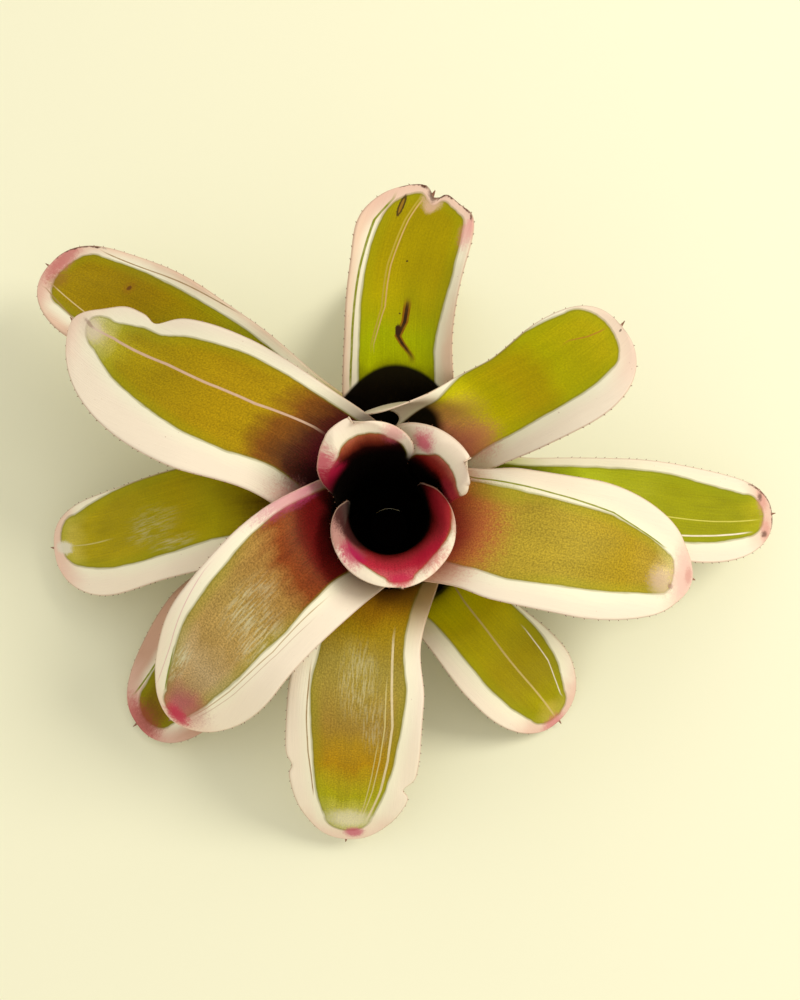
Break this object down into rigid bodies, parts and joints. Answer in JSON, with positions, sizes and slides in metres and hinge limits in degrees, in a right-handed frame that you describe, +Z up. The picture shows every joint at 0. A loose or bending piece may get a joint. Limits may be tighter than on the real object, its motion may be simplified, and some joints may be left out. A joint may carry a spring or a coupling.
{
  "type": "neoregelia bromeliad",
  "caption": "Flat rosette of variegated strap leaves with cream-pink edges round a crimson central cup, on a short cut stem.",
  "frame": {"origin": "centre of the stem's flat cut end, where the plant stands", "axes": "+Z up along the stem, -Y towards the viewer of the picture, +X to the viewer's right"},
  "size_m": [0.2523, 0.2105, 0.1083],
  "materials": {
    "olive_leaf": "waxy olive green leaf with a wide cream to pink margin",
    "bronze_leaf": "waxy bronze green leaf, flushed red at its base, with a wide cream to pink margin",
    "cup_leaf": "waxy crimson leaf with a cream-pink lip",
    "stem": "dry fibrous stem, cut flat"
  },
  "bodies": {
    "root": {"stem": "stem", "leaf_cup_front": "cup_leaf", "leaf_cup_left": "cup_leaf", "leaf_cup_right": "cup_leaf", "leaf_front_left": "bronze_leaf", "leaf_right": "bronze_leaf", "leaf_left": "bronze_leaf", "leaf_back_right": "olive_leaf", "leaf_front": "olive_leaf", "leaf_back": "olive_leaf", "leaf_lower_right": "olive_leaf", "leaf_lower_left": "olive_leaf", "leaf_lower_far_left": "bronze_leaf", "leaf_lower_front_right": "olive_leaf", "leaf_lower_front_left": "olive_leaf", "leaf_lower_back": "olive_leaf"}
  },
  "joints": []
}
